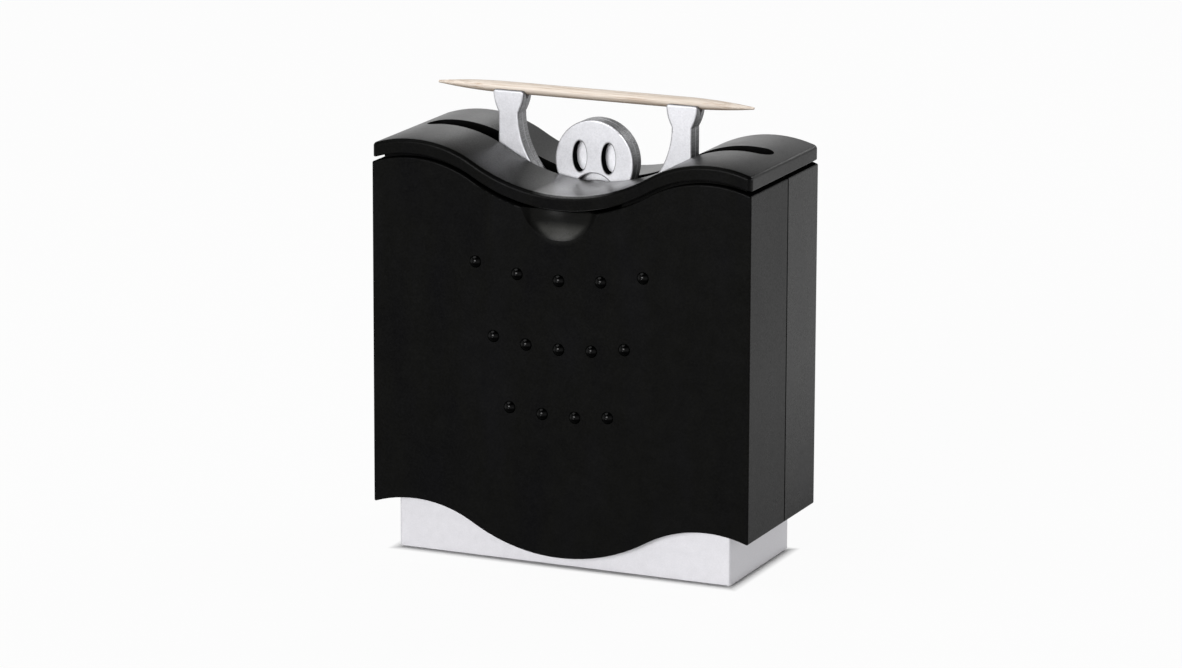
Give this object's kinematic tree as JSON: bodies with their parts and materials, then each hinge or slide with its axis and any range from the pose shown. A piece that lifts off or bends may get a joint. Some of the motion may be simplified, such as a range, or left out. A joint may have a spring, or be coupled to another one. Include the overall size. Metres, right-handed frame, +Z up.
{
  "type": "toothpick dispenser",
  "caption": "Free-standing toothpick dispenser: a case with a wavy lid slides on a base whose flat figure lifts one toothpick out through the lid's slot.",
  "frame": {"origin": "middle of the underside, on the surface that the dispenser stands on", "axes": "+Z up, +X along the width to the right as the face is seen, -Y to the front where the face looks"},
  "size_m": [0.0772, 0.0341, 0.0892],
  "materials": {
    "base_silver": "satin silver paint",
    "figure_silver": "satin silver paint",
    "case_black": "satin black",
    "lid_black": "satin black",
    "stud_black": "gloss black",
    "hopper_black": "moulded black",
    "screw_steel": "zinc plated",
    "ballast_steel": "plain steel",
    "pad_rubber": "soft rubber",
    "pick_wood": "plain birch"
  },
  "bodies": {
    "base": {"base_tub": "base_silver", "base_floor": "base_silver", "floor_screws": "screw_steel", "foot_pads": "pad_rubber", "ballast_plate": "ballast_steel", "figure_front": "figure_silver", "figure_rear": "figure_silver", "figure_screws": "screw_steel", "figure_nuts": "screw_steel"},
    "case": {"front_shell": "case_black", "rear_shell": "case_black", "grip_studs": "stud_black", "hopper": "hopper_black", "hopper_screws": "screw_steel"},
    "lid": {"lid": "lid_black"},
    "toothpick": {"toothpick": "pick_wood"}
  },
  "joints": [
    {"name": "case_lift", "type": "slide", "parent": "base", "child": "case", "axis": [0, 0, 1], "range_m": [0, 0.035]},
    {"name": "lid_lift", "type": "slide", "parent": "case", "child": "lid", "axis": [0, 0, 1], "range_m": [0, 0.03]},
    {"name": "toothpick_lift", "type": "slide", "parent": "base", "child": "toothpick", "axis": [0, 0, 1], "range_m": [0, 0.02]}
  ]
}
